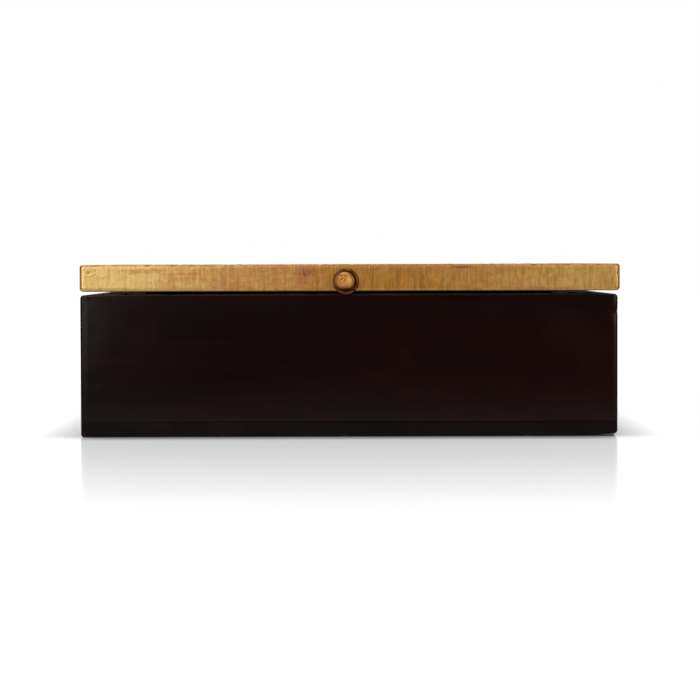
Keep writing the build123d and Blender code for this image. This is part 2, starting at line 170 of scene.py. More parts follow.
def new_finish(name):
    material = bpy.data.materials.new(name)
    material.use_nodes = True
    return material, material.node_tree, material.node_tree.nodes["Principled BSDF"]


def wire(node, inputs):
    """Fills a shader node's inputs; each is a plain value or another node's output."""
    for key, value in inputs.items():
        if isinstance(value, bpy.types.NodeSocket):
            node.id_data.links.new(value, node.inputs[key])
        else:
            node.inputs[key].default_value = value


def add(tree, kind, inputs=(), **settings):
    """A new shader node, with its settings and inputs."""
    made = tree.nodes.new("ShaderNode" + kind)
    for key, value in settings.items():
        setattr(made, key, value)
    wire(made, dict(inputs))
    return made


def stretched(place, scale):
    """The place drawn out or squeezed along each direction."""
    return add(place.id_data, "VectorMath", {0: place, 1: scale}, operation="MULTIPLY").outputs[0]


def cloud(place, scale, detail=3.0, roughness=0.55, distortion=0.0):
    made = add(place.id_data, "TexNoise", {"Vector": place, "Scale": scale, "Detail": detail,
                                           "Roughness": roughness, "Distortion": distortion})
    return made.outputs["Fac"]


def sums(operation, a, b, c=0.0):
    return add(a.id_data, "Math", {0: a, 1: b, 2: c}, operation=operation).outputs[0]


def times(a, b):
    return sums("MULTIPLY", a, b)


def plus(a, b):
    return sums("ADD", a, b)


def scaled(a, factor, lift):
    return sums("MULTIPLY_ADD", a, factor, lift)


def fade(value, start, end, low=0.0, high=1.0):
    """A smooth rise from low to high while the value goes from start to end."""
    made = add(value.id_data, "MapRange", {"Value": value, "From Min": start, "From Max": end,
                                           "To Min": low, "To Max": high}, interpolation_type="SMOOTHSTEP")
    return made.outputs["Result"]


def blend(share, a, b):
    """Colour a turning into colour b."""
    return add(share.id_data, "Mix", {0: share, 6: a, 7: b}, data_type="RGBA").outputs[2]


def rgb(red, green, blue):
    """A colour as it looks, 0 to 255, turned into light."""
    light = [((value / 255 + 0.055) / 1.055) ** 2.4 if value > 10 else value / 3294.6
             for value in (red, green, blue)]
    return (*light, 1.0)


def lay_bump(shader, height, strength, distance):
    bump = add(shader.id_data, "Bump", {"Height": height, "Strength": strength, "Distance": distance})
    wire(shader, {"Normal": bump.outputs["Normal"]})


def piece_finish(name):
    """A new finish with what each piece carries: its place along the grain, and its wear or tone."""
    material, tree, shader = new_finish(name)
    place = add(tree, "Attribute", attribute_name="grain").outputs["Vector"]
    wear = add(tree, "Attribute", attribute_name="wear").outputs["Fac"]
    return material, shader, place, wear


def lacquered_wood(name, dark, mid, light, bare, gloss, coat):
    """Open-grained hardwood, stained and lacquered, rubbed through to barer wood where worn."""
    material, shader, place, wear = piece_finish(name)
    bands = cloud(stretched(place, (5, 60, 60)), 1.0, 4.0, 0.6, 0.6)
    pores = cloud(stretched(place, (70, 1900, 1900)), 1.0, 2.0, 0.6)
    flecks = cloud(stretched(place, (24, 520, 520)), 1.0, 3.0, 0.65)
    stain = cloud(place, 26.0, 3.0, 0.6)
    figure = plus(times(bands, 0.6), times(flecks, 0.4))
    colour = blend(fade(figure, 0.36, 0.62), dark, mid)
    colour = blend(times(fade(stain, 0.45, 0.75), 0.55), colour, light)
    pore = fade(pores, 0.30, 0.42, 1.0, 0.0)
    colour = blend(times(pore, 0.55), colour, dark)
    ragged = plus(wear, scaled(flecks, 0.5, -0.25))
    worn = fade(ragged, 0.35, 0.8)
    colour = blend(worn, colour, bare)
    rough = plus(times(worn, 0.18), fade(stain, 0.3, 0.7, gloss, gloss + 0.07))
    wire(shader, {"Base Color": colour, "Roughness": rough, "Specular IOR Level": 0.02,
                  "Coat Weight": coat, "Coat Roughness": 0.15})
    height = plus(times(pore, -0.5), times(flecks, 0.5))
    lay_bump(shader, height, 0.25, 0.05 * mm)
    return material


base_finish = lacquered_wood(
    "blackened wood", rgb(16, 9, 9), rgb(23, 14, 13), rgb(32, 20, 17), rgb(96, 52, 30), 0.42, 0.1)

low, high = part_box("base_board")
base = saw_board(low, high, 3.4 * mm)
upright = {((0, a), (1, b)): 1.6 * mm for a in (-1, 1) for b in (-1, 1)}
underside = {((axis, sign), (2, -1)): 1.4 * mm for axis in (0, 1) for sign in (-1, 1)}
ease_all(base, low, high, {**upright, **underside})
hand_planed(base, 0.12 * mm, 1)

base_knocks = [     # along x, up from the table, reach, depth, bared: bruises on the front lower edge
    (-124.6, 0.6, 2.6, 0.5, 0.7), (-1.6, 0.2, 1.7, 0.35, 0.7), (27.4, 0.2, 1.9, 0.4, 0.7),
    (126.4, 0.0, 13.0, 1.5, 0.35), (-60.0, 0.1, 2.2, 0.2, 0.6), (84.0, 0.1, 2.4, 0.25, 0.6),
]
base_wear = []
for vert in base.verts:
    bruise = 0.0
    for x, z, reach, depth, bared in base_knocks:
        spot = Vector((x * mm, low.y, z * mm))
        near = 1 - smooth_step(0, reach * mm, (vert.co - spot).length)
        vert.co += Vector((0, 0.6, 0.8)) * near * depth * mm
        bruise = max(bruise, near * bared)
    rubbed_edge = edge_wear(vert.co, low, high, 0.9 * mm) * (0.55 if vert.co.z < 2 * mm else 0.2)
    base_wear.append(max(bruise, rubbed_edge))
base_board = board_piece("base_board_wood", base, low, high, 0, 1, base_wear, base_finish)


def drilled(piece, cutters):
    """Takes each cutter's space out of the piece for good."""
    for cutter in cutters:
        hole = piece.modifiers.new("hole", "BOOLEAN")
        hole.operation = "DIFFERENCE"
        hole.solver = "EXACT"
        hole.object = cutter
    graph = bpy.context.evaluated_depsgraph_get()
    cut_mesh = bpy.data.meshes.new_from_object(piece.evaluated_get(graph))
    piece.modifiers.clear()
    piece.data = cut_mesh
    for cutter in cutters:
        bpy.data.objects.remove(cutter)


def rod(start, end, radius, segments=24):
    """A plain cutter rod between two points."""
    work = bmesh.new()
    bmesh.ops.create_cone(work, cap_ends=True, segments=segments, radius1=radius, radius2=radius,
                          depth=(end - start).length)
    turn = Vector((0, 0, 1)).rotation_difference(end - start)
    bmesh.ops.rotate(work, verts=work.verts, matrix=turn.to_matrix())
    bmesh.ops.translate(work, verts=work.verts, vec=(start + end) / 2)
    return placed("cutter", work)


def lumps(mesh):
    """The separate solids in a mesh, each as a list of its corners."""
    seen = set()
    for first in list(mesh.verts):
        if first in seen:
            continue
        reach, found = [first], []
        seen.add(first)
        while reach:
            vert = reach.pop()
            found.append(vert)
            for edge in vert.link_edges:
                other = edge.other_vert(vert)
                if other not in seen:
                    seen.add(other)
                    reach.append(other)
        yield found


def islands(node):
    """The separate solids of a CAD node, each as its lowest and highest corner."""
    mesh = bmesh.new()
    mesh.from_mesh(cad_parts[node].data)
    bmesh.ops.remove_doubles(mesh, verts=mesh.verts, dist=0.001 * mm)
    boxes = []
    for found in lumps(mesh):
        places = [vert.co.copy() for vert in found]
        boxes.append((Vector(map(min, *places)), Vector(map(max, *places))))
    mesh.free()
    return boxes


wells = []
for pin_low, pin_high in islands("base_pins"):
    middle = (pin_low + pin_high) / 2
    radius = (pin_high.x - pin_low.x) / 2
    wells.append(rod(Vector((middle.x, middle.y, -1 * mm)),
                     Vector((middle.x, middle.y, pin_low.z)), radius))
drilled(base_board, wells)
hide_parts("base_board")
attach(base_board, "body")


# ---- Walls ------------------------------------------------------------------------------------
# Four hardwood boards, stained mahogany and lacquered to a satin shine. Front and back lap the
# ends of the sides. The tops fall away at both sides, and the corners are rounded and rubbed.

wall_finish = lacquered_wood(
    "mahogany lacquer", rgb(18, 5, 4), rgb(27, 8, 6), rgb(37, 14, 9), rgb(104, 46, 28), 0.40, 0.28)

outer_low, outer_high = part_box("base_board")
crown_reach = 12 * mm
crown_fall = 0.35 * mm
crown_radius = 1.6 * mm


def crown(board, high):
    """Lets a board's top fall away towards the box's two sides."""
    foot = outer_high.z
    for vert in board.verts:
        out = abs(vert.co.x) - (outer_high.x - crown_reach)
        if out > 0:
            run = crown_reach - crown_radius
            fall = crown_fall * min(1.25, out / run) ** 2
            share = (vert.co.z - foot) / (high.z - foot)
            vert.co.z -= fall * max(0, share)


def wall(node, radii, length_axis, seed, dents=()):
    """One wall: sawn, eased, crowned, planed and knocked; dents are (place, reach, depth, bared)."""
    low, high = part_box(node)
    high = Vector((high.x, high.y, max(high.z, wall_top)))
    board = saw_board(low, high, 2.2 * mm)
    ease_all(board, low, high, radii)
    crown(board, high)
    wear = []
    for vert in board.verts:
        sheltered = 0.35 if vert.co.z < low.z + mm else 1       # along the joint with the base
        worn = sheltered * edge_wear(vert.co, low, high, 0.75 * mm)
        if abs(vert.co.y) > outer_high.y - 0.8 * mm and vert.co.z > high.z - 0.9 * mm:
            worn = max(worn, 0.5)       # the lid closes on this edge
        wear.append(worn)
    hand_planed(board, 0.07 * mm, seed)
    for index, vert in enumerate(board.verts):
        for place, reach, depth, bared in dents:
            near = 1 - smooth_step(0, reach * mm, (vert.co - Vector(place) * mm).length)
            if near > 0:
                vert.co += (Vector((0, 0, 35 * mm)) - vert.co).normalized() * near * depth * mm
                wear[index] = max(wear[index], near * bared)
    return board_piece(node + "_wood", board, low, high, length_axis, seed, wear, wall_finish)


wall_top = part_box("front_wall")[1].z
arris = 0.6 * mm
corner = 1.6 * mm
left_face, front_face = outer_low.x / mm, outer_low.y / mm
right_face, back_face = outer_high.x / mm, outer_high.y / mm
nail_marks = [(pin_low + pin_high) / 2 / mm for pin_low, pin_high in islands("pin_filling")]


def marks_on(face):
    """The slight hollows that the stopping has left over the corner pins."""
    return [((mark.x, face, mark.z), 2.0, 0.12, 0.0) for mark in nail_marks]


def lapping_radii(out):
    """Rounded edges of a wall that laps the sides; out is -1 for the front and 1 for the back."""
    radii = {((1, out), (2, 1)): arris}
    for end in (-1, 1):
        radii[((0, end), (1, out))] = corner
        radii[((0, end), (2, 1))] = crown_radius
    return radii


front_dents = marks_on(front_face) + [
    ((124.6, front_face, 57.6), 2.1, 0.55, 1.0),    # chip on the right corner
    ((125.9, front_face + 1.2, 59.0), 1.6, 0.4, 0.9),
    ((-122.4, front_face, 64.6), 1.8, 0.22, 0.25),
    ((105.4, front_face, 34.4), 0.9, 0.15, 0.8),
    ((-1.2, front_face, 58.4), 1.5, 0.12, 0.3),
]
back_dents = marks_on(back_face) + [((-98.0, back_face, 22.0), 2.2, 0.2, 0.2),
                                    ((40.0, back_face, 9.0), 1.6, 0.25, 0.6)]
left_dents = [((left_face, -70.0, 12.0), 2.4, 0.3, 0.5), ((left_face, 34.0, 41.0), 1.5, 0.15, 0.1)]
right_dents = [((right_face, 60.0, 62.0), 2.0, 0.25, 0.6), ((right_face, -22.0, 30.0), 1.6, 0.15, 0.2)]

front_wall = wall("front_wall", lapping_radii(-1), 0, 2, front_dents)
back_wall = wall("back_wall", lapping_radii(1), 0, 3, back_dents)
left_wall = wall("left_wall", {((0, -1), (2, 1)): crown_radius}, 1, 4, left_dents)
right_wall = wall("right_wall", {((0, 1), (2, 1)): crown_radius}, 1, 5, right_dents)


barrel_hollow = 2.05 * mm
barrel_room = 4 * mm            # how far the hollow reaches out past the pins
leaf_room = 0.1 * mm


def hinge_cutters(above):
    """Cutters for both mortises and barrel hollows, in the wall below or in the lid above the pins."""
    cutters = []
    for side in ("left", "right"):
        leaf_low, leaf_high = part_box(("hinge_lid_leaf_" if above else "hinge_body_leaf_") + side)
        pin_low, pin_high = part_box("hinge_pin_" + side)
        axis = (pin_low + pin_high) / 2
        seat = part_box("lid_rail_back")[0].z - axis.z + 0.6 * mm
        inward = leaf_low.y - leaf_room
        outward = axis.y + barrel_room
        level = (axis.z, axis.z + seat) if above else (axis.z - seat, axis.z)
        block = bmesh.new()
        bmesh.ops.create_cube(block, size=1)
        size = Vector((leaf_high.x - leaf_low.x + 2 * leaf_room, outward - inward, level[1] - level[0]))
        middle = Vector(((leaf_low.x + leaf_high.x) / 2, (inward + outward) / 2, sum(level) / 2))
        for vert in block.verts:
            vert.co = Vector([vert.co[i] * size[i] for i in range(3)]) + middle
        cutters.append(placed("cutter", block))
        half_pin = Vector(((pin_high.x - pin_low.x) / 2 + leaf_room, 0, 0))
        cutters.append(rod(axis - half_pin, axis + half_pin, barrel_hollow, 48))
    return cutters


drilled(back_wall, hinge_cutters(above=False))
for piece, node in ((front_wall, "front_wall"), (back_wall, "back_wall"),
                    (left_wall, "left_wall"), (right_wall, "right_wall")):
    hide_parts(node)
    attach(piece, "body")


# ---- Pins and stopping ------------------------------------------------------------------------
# Drawn steel pins hold the corners and the base. The corner pins are sunk, and their heads are
# hidden under dark wax stopping that has shrunk a little below the lacquer.

def solid_finish(name):
    """A new finish that runs straight through the piece, with its place in the box."""
    material, tree, shader = new_finish(name)
    return material, shader, add(tree, "TexCoord").outputs["Object"]


def metal(name, bright, dull, roughness, grime, scale):
    """Bare metal that has dulled in clouds and specks, with fine handling scratches."""
    material, shader, place = solid_finish(name)
    clouds = cloud(place, scale, 4.0, 0.62, 0.4)
    specks = cloud(place, scale * 7, 2.0, 0.5)
    scratches = cloud(stretched(place, (260, 3200, 2600)), 1.0, 1.0, 0.5)
    mixed = scaled(specks, 0.35, times(clouds, 0.65))
    dulled = fade(mixed, 0.62 - grime * 0.25, 0.74 - grime * 0.2)
    rough = scaled(dulled, 0.22, fade(scratches, 0.4, 0.7, roughness, roughness + 0.1))
    wire(shader, {"Base Color": blend(dulled, bright, dull), "Roughness": rough, "Metallic": 1.0})
    lay_bump(shader, plus(scratches, times(dulled, 0.6)), 0.2, 0.02 * mm)
    return material


def refinish(node, finish):
    """Gives a CAD piece that keeps its own shape its real finish."""
    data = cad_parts[node].data
    data.materials.clear()
    data.materials.append(finish)


def soften_edges(node, width):
    """A fine rounded arris on a CAD piece, as filing leaves."""
    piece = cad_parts[node]
    joined = piece.modifiers.new("one skin", "WELD")
    joined.merge_threshold = 0.002 * mm
    arrises = piece.modifiers.new("filed edges", "BEVEL")
    arrises.width = width
    arrises.segments = 2
    arrises.limit_method = "ANGLE"
    arrises.angle_limit = math.radians(35)


steel = metal("drawn steel", rgb(176, 174, 168), rgb(94, 84, 74), 0.36, 0.5, 500)
for node in ("corner_pins", "base_pins", "lid_corner_pins"):
    refinish(node, steel)

wax, wax_shader, wax_place = solid_finish("wax stopping")
wax_cloud = cloud(wax_place, 900, 3.0, 0.6)
wire(wax_shader, {"Base Color": blend(wax_cloud, rgb(18, 8, 6), rgb(44, 20, 13)),
                  "Roughness": fade(wax_cloud, 0.3, 0.7, 0.4, 0.6)})
lay_bump(wax_shader, wax_cloud, 0.3, 0.03 * mm)


def skin(work, rows):
    """Faces between each ring of corners and the next; a ring may be a single point."""
    for row, after in zip(rows, rows[1:]):
        count = max(len(row), len(after))
        for a in range(count):
            b = (a + 1) % count
            ring = (row[a % len(row)], row[b % len(row)], after[b % len(after)], after[a % len(after)])
            work.faces.new(dict.fromkeys(ring))


stopping_sides = 20
stopping_rings = [      # share of the radius, depth: a shallow dish on a short plug
    (1.0, 0.9), (1.0, 0.16), (0.92, 0.1), (0.6, 0.14), (0.25, 0.17),
]
stopping = bmesh.new()
for pin_low, pin_high in islands("pin_filling"):
    front = pin_low.y < 0
    face = pin_low.y if front else pin_high.y
    inward = 1 if front else -1
    radius = (pin_high.x - pin_low.x) / 2
    middle = Vector(((pin_low.x + pin_high.x) / 2, face, (pin_low.z + pin_high.z) / 2))
    loops = []
    for share, depth in stopping_rings:
        loop = []
        for step in range(stopping_sides):
            angle = math.tau * step / stopping_sides
            out = radius * share
            around = Vector((math.cos(angle) * out, inward * depth * mm, math.sin(angle) * out))
            loop.append(stopping.verts.new(middle + around))
        loops.append(loop)
    skin(stopping, loops)
    stopping.faces.new(loops[0][::-1])
    stopping.faces.new(loops[-1])
bmesh.ops.recalc_face_normals(stopping, faces=stopping.faces)
stopping_grain = [vert.co.copy() for vert in stopping.verts]
stopping_piece = finish_piece("pin_stopping", stopping, stopping_grain, [0.0] * len(stopping_grain), wax)
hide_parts("pin_filling")
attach(stopping_piece, "body")


# ---- Floor lining -----------------------------------------------------------------------------
# A card pad covered in dark red cotton velvet, pressed into the bottom of the box. The velvet is
# turned over the card's edges, so it is thickest a little way in and soft along the sides.

def velvet(name, deep, lit):
    """Short cotton pile, brushed different ways in patches, with a soft sheen."""
    material, shader, place = solid_finish(name)
    brushed = cloud(place, 24, 2.0, 0.5, 0.2)
    pile = cloud(place, 3200, 2.0, 0.6)
    lint = fade(cloud(place, 900, 4.0, 0.7), 0.70, 0.78)
    colour = blend(fade(brushed, 0.2, 0.85), deep, lit)
    colour = blend(times(pile, 0.5), colour, deep)
    colour = blend(times(lint, 0.25), colour, rgb(150, 120, 110))
    wire(shader, {"Base Color": colour, "Roughness": 0.9, "Specular IOR Level": 0.1, "Sheen Weight": 0.7,
                  "Sheen Roughness": 0.35, "Sheen Tint": rgb(205, 90, 90)})
    height = scaled(pile, 0.6, times(brushed, 0.4))
    lay_bump(shader, height, 0.5, 0.12 * mm)
    return material


red_velvet = velvet("red velvet", rgb(58, 6, 12), rgb(104, 16, 24))


def lining(name, node, face_up, seed):
    """A covered pad, its showing face crowned and very slightly puckered at the corners."""
    low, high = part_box(node)
    pad = saw_board(low, high, 3.0 * mm)
    showing = (2, 1 if face_up else -1)
    ease_all(pad, low, high, {(side, showing): 1.2 * mm for side in ((0, -1), (0, 1), (1, -1), (1, 1))})
    back = low.z if face_up else high.z
    for vert in pad.verts:
        inset = min(vert.co.x - low.x, high.x - vert.co.x, vert.co.y - low.y, high.y - vert.co.y)
        lift = 0.66 + 0.26 * smooth_step(0, 9 * mm, inset)
        ripple = 0.05 * noise.noise(vert.co * 60 + Vector((seed, 0, 0))) + 0.03 * noise.noise(vert.co * 240)
        corner_pull = (vert.co.x * vert.co.y) / (high.x * high.y)
        ripple += 0.05 * max(0, abs(corner_pull) - 0.55) * math.sin(900 * (abs(vert.co.x) - abs(vert.co.y)))
        vert.co.z = back + (vert.co.z - back) * min(1.0, lift + ripple)
    grain = [vert.co.copy() for vert in pad.verts]
    piece = finish_piece(name, pad, grain, [0.0] * len(grain), red_velvet)
    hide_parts(node)
    return piece


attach(lining("floor_lining_velvet", "floor_lining", True, 3), "body")


# ---- Hinges -----------------------------------------------------------------------------------
# Two pressed brass butt hinges let into the back wall and the back rail, each with a loose brass
# pin, held by two countersunk brass screws a leaf. They have dulled with handling.

hinge_brass = metal("hinge brass", rgb(214, 176, 98), rgb(120, 82, 40), 0.30, 0.9, 260)
screw_brass = metal("screw brass", rgb(222, 188, 112), rgb(112, 76, 38), 0.26, 0.6, 420)
for side in ("left", "right"):
    for node in ("hinge_body_leaf_" + side, "hinge_lid_leaf_" + side, "hinge_pin_" + side):
        refinish(node, hinge_brass)
        soften_edges(node, 0.12 * mm)
for node in ("body_leaf_screws", "lid_leaf_screws"):
    refinish(node, screw_brass)
    soften_edges(node, 0.06 * mm)


# ---- Lid rails --------------------------------------------------------------------------------
# The lid is a mitred hardwood frame, coated with gesso and red bole and gilded with leaf laid in
# upright strokes. Handling has rubbed the leaf down to the bole along edges and in long patches.

rail_boxes = [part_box("lid_rail_" + side) for side in ("front", "right", "back", "left")]
lid_low = Vector(map(min, *[low for low, high in rail_boxes]))
lid_high = Vector(map(max, *[high for low, high in rail_boxes]))
rail_width = rail_boxes[0][1].y - rail_boxes[0][0].y
panel_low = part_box("lid_panel")[0]
ledge_width = rail_width - (panel_low.x - 0.2 * mm - lid_low.x)
ledge_height = panel_low.z - lid_low.z
rail_height = lid_high.z - lid_low.z
top_ease, under_ease, inner_ease, end_ease = 1.3 * mm, 1.6 * mm, 0.4 * mm, 2.0 * mm


def arc(middle, radius, start, end, steps):
    """Points on a quarter round, angles in degrees in the section's own plane."""
    for step in range(1, steps + 1):
        angle = math.radians(start + (end - start) * step / steps)
        yield middle[0] + radius * math.cos(angle), middle[1] + radius * math.sin(angle)


def run(start, end, spacing):
    count = max(1, round(math.hypot(end[0] - start[0], end[1] - start[1]) / spacing))
    for step in range(1, count + 1):
        share = step / count
        yield start[0] + (end[0] - start[0]) * share, start[1] + (end[1] - start[1]) * share


def rail_section():
    """Points round a rail's section, (inwards from the outer face, up from the underside)."""
    step = rail_width - ledge_width
    points = [(under_ease, 0.0)]
    points += arc((under_ease, under_ease), under_ease, 270, 180, 6)
    points += run((0, under_ease), (0, rail_height - top_ease), 0.5 * mm)
    points += arc((top_ease, rail_height - top_ease), top_ease, 180, 90, 6)
    points += run((top_ease, rail_height), (step - inner_ease, rail_height), 0.7 * mm)
    points += arc((step - inner_ease, rail_height - inner_ease), inner_ease, 90, 0, 3)
    points += run((step, rail_height - inner_ease), (step, ledge_height), 1.5 * mm)
    points += run((step, ledge_height), (rail_width, ledge_height), 2.5 * mm)
    points += run((rail_width, ledge_height), (rail_width, inner_ease), 1.3 * mm)
    points += arc((rail_width - inner_ease, inner_ease), inner_ease, 0, -90, 3)
    points += run((rail_width - inner_ease, 0), (under_ease, 0), 1.2 * mm)
    return points[:-1]


def rail_place(side, share, inwards, up):
    """Where a point of the section lies, a share of the way along its rail's outer edge."""
    span_x = lid_high.x - lid_low.x - 2 * inwards
    span_y = lid_high.y - lid_low.y - 2 * inwards
    z = lid_low.z + up
    if side == "front":
        return Vector((lid_low.x + inwards + share * span_x, lid_low.y + inwards, z))
    if side == "right":
        return Vector((lid_high.x - inwards, lid_low.y + inwards + share * span_y, z))
    if side == "back":
        return Vector((lid_high.x - inwards - share * span_x, lid_high.y - inwards, z))
    return Vector((lid_low.x + inwards, lid_high.y - inwards - share * span_y, z))


# Rubbed patches on the front rail, millimetres: along, up, half length, half height, how bare.
front_rubs = [
    (27.4, 9.5, 15, 1.3, 0.48), (36.5, 10.0, 6, 1.5, 0.48), (51, 8.2, 14, 1.4, 0.54),
    (51, 5.9, 14, 2.4, 0.42), (82, 6.3, 44, 11, 0.40), (66, 3.6, 8, 3.4, 0.64),
    (73, 2.4, 9, 2.6, 0.54), (92, 7.0, 9, 4.4, 0.50), (106.5, 8.8, 7, 3.8, 0.82),
    (104, 4.5, 4, 4.8, 0.64), (94, 11.0, 10, 1.4, 0.56), (121, 10.5, 2, 1.8, 0.46),
    (148, 11.4, 17, 1.1, 0.44), (165, 10.6, 4.5, 1.8, 0.52), (180, 11.2, 9, 1.1, 0.98),
    (172, 10.8, 6, 1.5, 0.52), (203, 11.0, 11, 1.4, 0.46), (211, 10.4, 1.4, 1.2, 0.66),
    (212, 1.1, 26, 1.1, 0.52), (207, 2.4, 9, 2.2, 0.42), (186, 1.0, 7, 0.9, 0.52),
    (193, 6.2, 10, 4.6, 0.24), (7, 0.5, 9, 0.6, 0.50), (42, 2.0, 5, 1.8, 0.40),
]
# Dents and nicks in it: along, up, reach, depth; then raised brush marks: along, up, half length.
front_knocks = [
    (253.6, 7.8, 1.3, 0.45), (4.6, 8.5, 1.1, 0.16), (25.7, 7.5, 0.7, 0.16), (25.7, 3.6, 0.5, 0.10),
    (25.6, 2.4, 0.5, 0.12), (42.5, 3.0, 0.6, 0.12), (70.0, 1.6, 0.6, 0.14), (118.5, 11.0, 1.0, 0.12),
]
brush_ridges = [
    (7.5, 8.0, 3.4), (10.5, 7.0, 3.0), (3.5, 7.1, 1.8), (12.0, 0.9, 4.0), (17.5, 1.6, 2.6),
    (24, 9.0, 3.0), (33.0, 6.8, 2.0), (205.5, 9.2, 1.2), (208.0, 7.6, 1.6),
]
# Painted shading along the front rail's gold, 0 pale to 1 deep ochre: pale at the left where the light
# falls, darkest in the middle, paler again to the right.
front_painted_shading = [
    (0, 0.0), (30, 0.04), (44, 0.3), (66, 0.5), (92, 0.62), (110, 0.86), (124, 1.0), (162, 1.0),
    (180, 0.84), (204, 0.72), (228, 0.66), (254, 0.58),
]


rail_turn = {"front": 0, "right": 1, "back": 2, "left": 3}
stroke_pitch = 0.62 * mm        # between the rings of corners along a rail


def top_nicks(side, along):
    """How chipped the gesso is along a rail's top edge."""
    seed = 4.0 * rail_turn[side]
    small = 0.5 + 0.5 * noise.noise(Vector((along * 330, 9, seed)))
    large = 0.5 + 0.5 * noise.noise(Vector((along * 95, 4, seed)))
    return min(1, 1.5 * small ** 2 * (0.4 + large))


def leaf_tone_and_front_shading(side, along, up):
    """0 where the leaf is pale, 1 where it is deep ochre; on the front rail this is painted shading, on the
    others the leaf's own tone.
    """
    if side == "front":
        for (start, first), (end, second) in zip(front_painted_shading, front_painted_shading[1:]):
            if along <= end * mm:
                return first + (second - first) * max(0, along / mm - start) / (end - start)
        return front_painted_shading[-1][1]
    seed = 4.0 * rail_turn[side] + 1
    return min(1, max(0, 0.45 + 0.9 * noise.noise(Vector((along * 14 + seed, up * 9, seed)))))


def rubbed(side, along, up):
    """How far the leaf is rubbed through at a place on a rail, before edges are counted."""
    if side == "front":
        bare = 0.0
        for middle, level, half_long, half_high, amount in front_rubs:
            off = math.hypot((along / mm - middle) / half_long, (up / mm - level) / half_high)
            bare = max(bare, amount * (1 - smooth_step(0.3, 1.25, off)))
        return bare
    seed = {"right": 11.0, "back": 23.0, "left": 37.0}[side]
    long_patch = noise.noise(Vector((along * 26 + seed, up * 190, seed)))
    broad = noise.noise(Vector((along * 11 + seed, up * 60, seed + 5)))
    return max(0.0, 0.55 * long_patch + 0.65 * broad + 0.06)


def gilded_rail(side, finish):
    """One rail: the section swept between its mitres, roughened by the strokes and chipped edges."""
    section = rail_section()
    length = (lid_high.x - lid_low.x) if side in ("front", "back") else (lid_high.y - lid_low.y)
    stations = round(length / stroke_pitch)
    girth = [0.0]
    for (u0, z0), (u1, z1) in zip(section, section[1:]):
        girth.append(girth[-1] + math.hypot(u1 - u0, z1 - z0))
    work = bmesh.new()
    rows, grain, wear, showing, tone = [], [], [], [], []
    for station in range(stations + 1):
        share = station / stations
        row = []
        for (inwards, up), around in zip(section, girth):
            place = rail_place(side, share, inwards, up)
            out_x = end_ease - min(place.x - lid_low.x, lid_high.x - place.x)
            out_y = end_ease - min(place.y - lid_low.y, lid_high.y - place.y)
            if out_x > 0 and out_y > 0:
                keep = 1 - max(out_x, out_y) / math.hypot(out_x, out_y)
                place.x += math.copysign(out_x * keep, -place.x)
                place.y += math.copysign(out_y * keep, -place.y)
            row.append(work.verts.new(place))
            along = inwards + share * (length - 2 * inwards)
            end_gap = min(along, length - along)
            outside = 1.0 if inwards < rail_width - ledge_width + 0.01 * mm and up > 0.3 * mm else 0.0
            bare = rubbed(side, along, up) if inwards < 1.2 * mm else 0.0
            if inwards >= 1.2 * mm:
                bare = max(0.0, 0.5 * noise.noise(Vector((along * 30, inwards * 200, 4))) + 0.12)
            top_gap = math.hypot(inwards, rail_height - up) if inwards < 6 * mm else 1.0
            ragged = 0.5 + 0.5 * noise.noise(Vector((along * 260, 7, 3 + around * 90)))
            chipped = top_nicks(side, along)
            edge = (1 - smooth_step(0.4 * mm, 1.3 * mm, top_gap)) * (0.12 + 1.25 * chipped)
            corner_gap = 1 - smooth_step(0.1 * mm, 1.1 * mm, end_gap)
            bare = max(bare, edge, corner_gap * (0.5 + 0.8 * ragged))
            wear.append(min(1.1, bare))
            # Painted highlight: the tone is lowered, so the leaf is paler, along the lower outer arris
            # beyond the first 20 to 70 mm of each rail, where it would catch light from below.
            off_arris = abs(up - 0.6 * mm) if inwards < under_ease else mm
            painted_arris_highlight = 1 - smooth_step(0.3 * mm, 1.0 * mm, off_arris)
            tone.append(leaf_tone_and_front_shading(side, along, up) - 0.25 * painted_arris_highlight * smooth_step(20 * mm, 70 * mm, along))
            grain.append(Vector((along, around, rail_turn[side] * 0.37)))
            showing.append(outside)
        rows.append(row)
    skin(work, rows)
    work.faces.new(rows[0])
    work.faces.new(rows[-1][::-1])
    bmesh.ops.recalc_face_normals(work, faces=work.faces)
    work.normal_update()
    for vert, place, shown in zip(work.verts, grain, showing):
        along, around = place.x, place.y
        up = vert.co.z - lid_low.z
        stroke = noise.noise(Vector((along * 760, up * 55, place.z)))
        broad = noise.noise(Vector((along * 48, up * 75, place.z + 2)))
        deep = 0.035 + 0.03 * stroke + 0.045 * (0.5 + 0.5 * broad)
        near_top = 1 - smooth_step(0, 1.6 * mm, rail_height - up)
        deep += near_top * 0.34 * top_nicks(side, along)
        if side == "front":
            for middle, level, reach, depth in front_knocks:
                away = math.hypot(along / mm - middle, up / mm - level)
                deep += depth * (1 - smooth_step(0, reach, away))
            for middle, level, half_long in brush_ridges:
                off = (along / mm - middle) / half_long
                if abs(off) < 1:
                    wave = level + 0.45 * math.sin(off * 5 + middle) + 0.2 * math.sin(off * 17)
                    away = up / mm - wave
                    ridge = 0.08 * math.exp(-(away + 0.45) ** 2 * 9) - 0.1 * math.exp(-away ** 2 * 9)
                    deep += (1 - off * off) * ridge
        vert.co -= vert.normal * deep * mm * shown
    piece = finish_piece("lid_rail_" + side + "_gilded", work, grain, wear, finish)
    # The tone attribute carries the leaf's own tone together with the front rail's painted shading and the
    # lower arris's painted highlight.
    tone_with_painted_light = piece.data.attributes.new("tone", "FLOAT", "POINT")
    tone_with_painted_light.data.foreach_set("value", tone)
    return piece


def away_from(place, spot):
    return add(place.id_data, "VectorMath", {0: place, 1: spot}, operation="DISTANCE").outputs["Value"]


